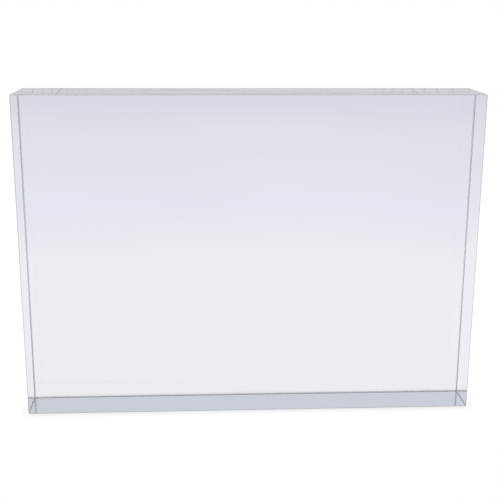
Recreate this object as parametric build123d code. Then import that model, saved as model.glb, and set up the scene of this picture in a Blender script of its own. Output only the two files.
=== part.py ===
from build123d import *
import os

# A freestanding clear guard for a buffet counter. It is one solid slab of cast
# acrylic that stands on its long narrow face, so it has a single sub-part.
#
# Frame, in millimetres: +Z is up, +X runs along the width, and -Y faces the
# guest. The origin is the centre of the face that the slab stands on.

INCH = 25.4

WIDTH = 14 * INCH  # along X
HEIGHT = 10 * INCH  # along Z
THICKNESS = 2 * INCH  # along Y: the sheet's stock thickness
ARRIS = 0.7  # leg of the 45 degree chamfer along every edge, so none is sharp

PARTS_FOLDER = "parts"


def guard_slab():
    """The slab, centred over the origin and standing on the XY plane."""
    standing = (Align.CENTER, Align.CENTER, Align.MIN)
    block = Box(WIDTH, THICKNESS, HEIGHT, align=standing)
    return chamfer(block.edges(), ARRIS)


os.makedirs(PARTS_FOLDER, exist_ok=True)
export_step(guard_slab(), f"{PARTS_FOLDER}/guard_slab.step")
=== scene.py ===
from math import cos, radians, sin

import bmesh
import bpy
from mathutils import Matrix, Vector


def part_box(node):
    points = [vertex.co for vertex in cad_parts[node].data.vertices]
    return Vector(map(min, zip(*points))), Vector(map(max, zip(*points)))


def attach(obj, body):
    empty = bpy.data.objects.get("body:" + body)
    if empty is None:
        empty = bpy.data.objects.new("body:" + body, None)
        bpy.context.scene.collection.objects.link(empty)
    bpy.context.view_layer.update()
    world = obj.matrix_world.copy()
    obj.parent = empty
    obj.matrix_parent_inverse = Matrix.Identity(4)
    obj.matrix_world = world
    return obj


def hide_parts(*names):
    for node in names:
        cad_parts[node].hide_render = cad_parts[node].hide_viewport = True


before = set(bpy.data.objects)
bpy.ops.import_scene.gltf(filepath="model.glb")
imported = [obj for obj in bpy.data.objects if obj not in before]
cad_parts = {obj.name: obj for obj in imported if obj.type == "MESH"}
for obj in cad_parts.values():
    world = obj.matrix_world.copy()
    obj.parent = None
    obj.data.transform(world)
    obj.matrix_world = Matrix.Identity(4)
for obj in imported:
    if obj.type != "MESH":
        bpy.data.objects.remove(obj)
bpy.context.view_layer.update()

# A freestanding clear guard: one solid slab of polished cast acrylic, on a plain table in a soft studio.
# The slab's size and place come from the imported model. Lengths are in metres, angles in radians.
#
# The greys of the chamfers, which are painted shade, and the light of the table and studio, are chosen so
# that the slab looks right.
# They aren't measured properties of acrylic or of a real room.

SLAB_NODE = "guard_slab"

SLAB_LO, SLAB_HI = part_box(SLAB_NODE)
WIDTH = SLAB_HI.x - SLAB_LO.x

# ---- the camera: its place is in slab widths from the foot of the front face ----
EYE = Vector((-0.1080, -1.9641, 0.9077))
YAW, PITCH, ROLL = radians(3.089), radians(15.060), radians(-0.291)
SENSOR_MM = 36.0
LENS_MM = 67.4

# ---- the slab's shape ----
SHOULDER = 0.00015  # polishing rounds off both sides of an edge's chamfer by this much
SHOULDER_STEPS = 3
SAME_PLACE = 0.000001  # corners of the CAD mesh closer than this are one corner
SAME_PLANE = radians(1)  # and faces that turn less than this are one face
FLAT = 0.999  # a face whose normal has a larger part than this is one of the slab's six sides
ASLANT = 0.1  # and a smaller part than this counts as none

# ---- the slab's material ----
ACRYLIC_IOR = 1.49
CLEAR = (1.0, 1.0, 1.0, 1.0)
TINT = (0.80, 0.90, 0.93, 1.0)  # cast acrylic is a faint blue-green where it is looked into a long way
TINT_DENSITY = 0.3  # per metre
CAST_HAZE = (0.0, 0.02)  # lowest and highest roughness
CAST_HAZE_SIZE, CAST_HAZE_DETAIL = 0.05, 3.0
SWELL_SIZE, SWELL_DEPTH = 0.030, 0.000008  # casting leaves slow swells in the broad faces
SWELL_DETAIL, SWELL_SEED = 1.0, 5.0
CUT_HAZE = (0.003, 0.025)
STREAK_SIZE, STREAK_LENGTH, STREAK_DEPTH = 0.0012, 0.060, 0.0000002  # the polishing wheel leaves streaks
STREAK_DETAIL = 3.0
ARRIS_GRAIN, ARRIS_DETAIL = 0.004, 2.0
ARRIS_UNEVEN = 0.05

# For each kind of chamfer: roughness, how much of the light goes through, and colour. The colour is painted
# shade on one scraped finish: lightest on the upright chamfers, darker on the level ones and darkest on the
# foot beside the table, in place of the dark lines that the unlit studio gives the edges.
LEVEL_ARRIS = (0.45, 1.0, (0.50, 0.50, 0.50, 1.0))
UPRIGHT_ARRIS = (0.45, 1.0, (0.66, 0.66, 0.66, 1.0))
FOOT_ARRIS = (0.30, 0.50, (0.28, 0.28, 0.30, 1.0))

# ---- the studio ----
TABLE_GAP = 0.0004  # between the slab's flat foot and the table
TABLE_HALF = 8.0
WHITE = (1.0, 1.0, 1.0, 1.0)  # what the camera itself sees of the table and the studio
HORIZON = (0.69, 0.69, 0.765)
POOL_REACH = 2.5  # metres from the slab to the last colour of POOL
POOL = (  # the light that the table gives the slab: its two ends, then what lies between
    (0.00, (0.850, 0.857, 0.897)),
    (1.00, HORIZON),
    (0.15, (0.848, 0.855, 0.893)),
    (0.32, (0.775, 0.792, 0.860)),
    (0.54, (0.750, 0.752, 0.816)),
)
DOME = (  # the light that the walls and ceiling give it, from table height up to overhead, in the same order
    (0.00, HORIZON),
    (1.00, (0.33, 0.34, 0.37)),
    (0.10, (0.72, 0.715, 0.755)),
    (0.42, (0.58, 0.607, 0.67)),
)
CLOUD_SIZE, CLOUD_DEPTH = (0.35, 0.5, 0.35), 0.03  # the pool of light is a little uneven
CLOUD_DETAIL, CLOUD_SEED = 2.0, 3.0
SHADE_DEEP = (0.48, 0.48, 0.48, 1)  # the table close under the slab, as the slab shows it
SHADE_SEEN = (0.72, 0.72, 0.73, 1)  # and as it looks from outside
SHADE_REACH, SHADE_SAMPLES = 0.008, 8
SIDE_FALL = 0.42  # the studio is this much darker out to both sides
SIDE_SPREAD = 1.5  # how far sideways, for each step ahead or back, it stays as light as in front
SIDE_START = 0.22  # metres on the table from its middle line to where it starts to darken
SIDE_BLEND = 0.25  # the width that it darkens over; on the table, for each metre of distance plus SIDE_NEAR
SIDE_NEAR = 0.5

BOUNCES = 32  # a ray crosses the slab many times before it gets out
PIXEL_FILTER = 1.3


class Graph:
    """A node tree, with a short way to add a node and to set or link its inputs."""

    def __init__(self, tree):
        self.nodes, self.links = tree.nodes, tree.links
        self.nodes.clear()

    def add(self, kind, inputs=(), **settings):
        """A node with settings on it and inputs, each a plain value or another node's output."""
        node = self.nodes.new("ShaderNode" + kind)
        for name, value in settings.items():
            setattr(node, name, value)
        for name, value in dict(inputs).items():
            if isinstance(value, bpy.types.NodeSocket):
                self.links.new(value, node.inputs[name])
            else:
                node.inputs[name].default_value = value
        return node

    def math(self, operation, *values):
        return self.add("Math", dict(enumerate(values)), operation=operation).outputs[0]

    def mix(self, factor, a, b):
        """Colour a where factor is 0, and b where it is 1."""
        return self.add("Mix", {0: factor, 6: a, 7: b}, data_type="RGBA").outputs[2]

    def dim(self, colour, light):
        """A colour with only so much light left on it."""
        return self.add("VectorMath", {0: colour, "Scale": light}, operation="SCALE").outputs[0]

    def span(self, value, low, high):
        """A value between 0 and 1 spread from low to high."""
        return self.add("MapRange", {"Value": value, "To Min": low, "To Max": high}).outputs[0]

    def ramp(self, factor, stops):
        """A colour ramp through (position, colour) stops."""
        node = self.add("ValToRGB", {0: factor})
        node.color_ramp.interpolation = "EASE"
        elements = node.color_ramp.elements
        for i, (position, colour) in enumerate(stops):
            stop = elements[i] if i < 2 else elements.new(position)
            stop.position = position
            stop.color = (*colour, 1)
        return node.outputs["Color"]

    def noise(self, sizes, detail, seed=0.0):
        """A smooth random value of the given grain size along x, y and z."""
        place = self.add("TexCoord").outputs["Object"]
        inputs = {"Vector": place, "Location": (seed,) * 3, "Scale": [1 / size for size in sizes]}
        grain = self.add("Mapping", inputs).outputs[0]
        return self.add("TexNoise", {"Vector": grain, "Scale": 1.0, "Detail": detail}).outputs[0]


def new_material(name):
    material = bpy.data.materials.new(name)
    material.use_nodes = True
    return material, Graph(material.node_tree)


def place_camera():
    """A camera a little above the slab and left of its middle, looking down on it."""
    ahead = Vector((sin(YAW) * cos(PITCH), cos(YAW) * cos(PITCH), -sin(PITCH)))
    level = Vector((cos(YAW), -sin(YAW), 0.0))
    down = ahead.cross(level)
    right = cos(ROLL) * level + sin(ROLL) * down
    up = sin(ROLL) * level - cos(ROLL) * down
    turn = Matrix((right, up, -ahead)).transposed()
    front_foot = Vector((0.0, SLAB_LO.y, SLAB_LO.z))
    camera = bpy.data.cameras.new("camera")
    camera.sensor_width = SENSOR_MM
    camera.lens = LENS_MM
    holder = bpy.data.objects.new("camera", camera)
    holder.matrix_world = Matrix.Translation(front_foot + EYE * WIDTH) @ turn.to_4x4()
    bpy.context.scene.collection.objects.link(holder)
    bpy.context.scene.camera = holder


def acrylic(g, roughness, bump=None, colour=CLEAR, clearness=1.0):
    """Acrylic with the given finish, for a material's node tree."""
    inputs = {
        "Base Color": colour,
        "Transmission Weight": clearness,
        "Roughness": roughness,
        "IOR": ACRYLIC_IOR,
    }
    if bump:
        inputs["Normal"] = bump
    shader = g.add("BsdfPrincipled", inputs)
    inside = g.add("VolumeAbsorption", {"Color": TINT, "Density": TINT_DENSITY})
    g.add("OutputMaterial", {"Surface": shader.outputs[0], "Volume": inside.outputs[0]})


def cast_face():
    """The two broad faces: glossy as cast, with slow swells."""
    material, g = new_material("cast_face")
    haze = g.span(g.noise((CAST_HAZE_SIZE,) * 3, CAST_HAZE_DETAIL), *CAST_HAZE)
    swell = g.noise((SWELL_SIZE,) * 3, SWELL_DETAIL, SWELL_SEED)
    bump = g.add("Bump", {"Height": swell, "Distance": SWELL_DEPTH})
    acrylic(g, haze, bump.outputs[0])
    return material


def polished_cut():
    """The top, the foot and both ends: cut, then polished along their length."""
    material, g = new_material("polished_cut")
    streaks = g.noise((STREAK_LENGTH, STREAK_SIZE, STREAK_LENGTH), STREAK_DETAIL)
    haze = g.span(streaks, *CUT_HAZE)
    bump = g.add("Bump", {"Height": streaks, "Distance": STREAK_DEPTH})
    acrylic(g, haze, bump.outputs[0])
    return material


def arris(name, roughness, clearness, colour):
    """A scraped chamfer, duller in some places than in others, with a painted grey shade as its colour."""
    material, g = new_material(name)
    grain = g.noise((ARRIS_GRAIN,) * 3, ARRIS_DETAIL)
    haze = g.span(grain, roughness - ARRIS_UNEVEN, roughness + ARRIS_UNEVEN)
    acrylic(g, haze, None, colour, clearness)
    return material


def finish_and_shade(normal):
    """The finish of a face of the slab, from the way the face looks; for a chamfer, also which copy of its
    painted shade it gets, darkest on the foot.
    """
    across, through, up = (abs(part) for part in normal)
    if through > FLAT:
        return "cast_face"
    if max(across, up) > FLAT:
        return "polished_cut"
    # the chamfer kinds below differ only in painted shade and roughness, not in material
    if up < ASLANT:
        return "upright_arris"
    if across > ASLANT and normal.z < 0:
        return "foot_arris"
    return "level_arris"


def make_slab():
    """The slab, from the CAD mesh, with each side of its chamfers rounded off a little."""
    mesh = bpy.data.meshes.new("clear_slab")
    materials = (
        cast_face(),
        polished_cut(),
        arris("level_arris", *LEVEL_ARRIS),
        arris("upright_arris", *UPRIGHT_ARRIS),
        arris("foot_arris", *FOOT_ARRIS),
    )
    for material in materials:
        mesh.materials.append(material)
    order = [material.name for material in materials]
    bm = bmesh.new()
    bm.from_mesh(bpy.data.objects[SLAB_NODE].data)
    bmesh.ops.remove_doubles(bm, verts=bm.verts[:], dist=SAME_PLACE)
    bmesh.ops.dissolve_limit(bm, angle_limit=SAME_PLANE, verts=bm.verts[:], edges=bm.edges[:])
    bmesh.ops.bevel(bm, geom=bm.edges[:], offset=SHOULDER, segments=SHOULDER_STEPS, affect="EDGES")
    for face in bm.faces:
        face.smooth = True
        face.material_index = order.index(finish_and_shade(face.normal))
    bm.to_mesh(mesh)
    slab = bpy.data.objects.new("clear_slab", mesh)
    bpy.context.scene.collection.objects.link(slab)
    weighted = slab.modifiers.new("flat faces stay flat", "WEIGHTED_NORMAL")
    weighted.keep_sharp = True
    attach(slab, "root")
    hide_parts(SLAB_NODE)


def side_light(g, place, start, width):
    """How much light is left at a place: it falls away to both sides over width, from start outward."""
    spot = g.add("SeparateXYZ", {0: place})
    across = g.math("ABSOLUTE", spot.outputs["X"])
    along = g.math("MULTIPLY", g.math("ABSOLUTE", spot.outputs["Y"]), SIDE_SPREAD)
    beyond = g.math("SUBTRACT", g.math("SUBTRACT", across, along), start)
    inputs = {"Value": g.math("DIVIDE", beyond, width), "To Min": 1.0, "To Max": 1 - SIDE_FALL}
    return g.add("MapRange", inputs, interpolation_type="SMOOTHSTEP").outputs[0]


def make_table():
    """A plain table that looks white to the camera, and lights the slab with a soft pool of its own."""
    half = TABLE_HALF
    z = SLAB_LO.z - TABLE_GAP
    corners = [(-half, -half, z), (half, -half, z), (half, half, z), (-half, half, z)]
    mesh = bpy.data.meshes.new("table")
    mesh.from_pydata(corners, [], [(0, 1, 2, 3)])
    table = bpy.data.objects.new("table", mesh)
    bpy.context.scene.collection.objects.link(table)
    material, g = new_material("table")
    place = g.add("NewGeometry").outputs["Position"]
    distance = g.add("VectorMath", {0: place}, operation="LENGTH").outputs["Value"]
    pool = g.ramp(g.math("DIVIDE", distance, POOL_REACH), POOL)
    side_width = g.math("MULTIPLY", g.math("ADD", distance, SIDE_NEAR), SIDE_BLEND)
    pool = g.dim(pool, side_light(g, place, SIDE_START, side_width))
    cloud = g.noise(CLOUD_SIZE, CLOUD_DETAIL, CLOUD_SEED)
    pool = g.dim(pool, g.span(cloud, 1 - CLOUD_DEPTH, 1 + CLOUD_DEPTH))
    camera_ray = g.add("LightPath").outputs["Is Camera Ray"]
    lit = g.mix(camera_ray, pool, WHITE)
    shade = g.mix(camera_ray, SHADE_DEEP, SHADE_SEEN)
    open_air = g.add("AmbientOcclusion", {"Distance": SHADE_REACH}, samples=SHADE_SAMPLES).outputs["AO"]
    glow = g.add("Emission", {"Color": g.mix(open_air, shade, lit)})
    g.add("OutputMaterial", {"Surface": glow.outputs[0]})
    mesh.materials.append(material)


def make_studio():
    """Soft light from walls and ceiling, darker overhead and out to both sides, and white to the camera."""
    world = bpy.data.worlds.new("studio")
    bpy.context.scene.world = world
    world.use_nodes = True
    g = Graph(world.node_tree)
    way = g.add("TexCoord").outputs["Generated"]
    height = g.add("SeparateXYZ", {0: way}).outputs["Z"]
    dome = g.dim(g.ramp(height, DOME), side_light(g, way, 0.0, SIDE_BLEND))
    shown = g.mix(g.add("LightPath").outputs["Is Camera Ray"], dome, WHITE)
    light = g.add("Background", {"Color": shown})
    g.add("OutputWorld", {"Surface": light.outputs[0]})


def render_look():
    """Plain colours, and room for a ray to cross the slab many times."""
    scene = bpy.context.scene
    scene.view_settings.view_transform = "Standard"
    scene.cycles.max_bounces = BOUNCES
    scene.cycles.transmission_bounces = BOUNCES
    scene.cycles.glossy_bounces = BOUNCES
    scene.cycles.filter_width = PIXEL_FILTER


place_camera()
make_slab()
make_table()
make_studio()
render_look()
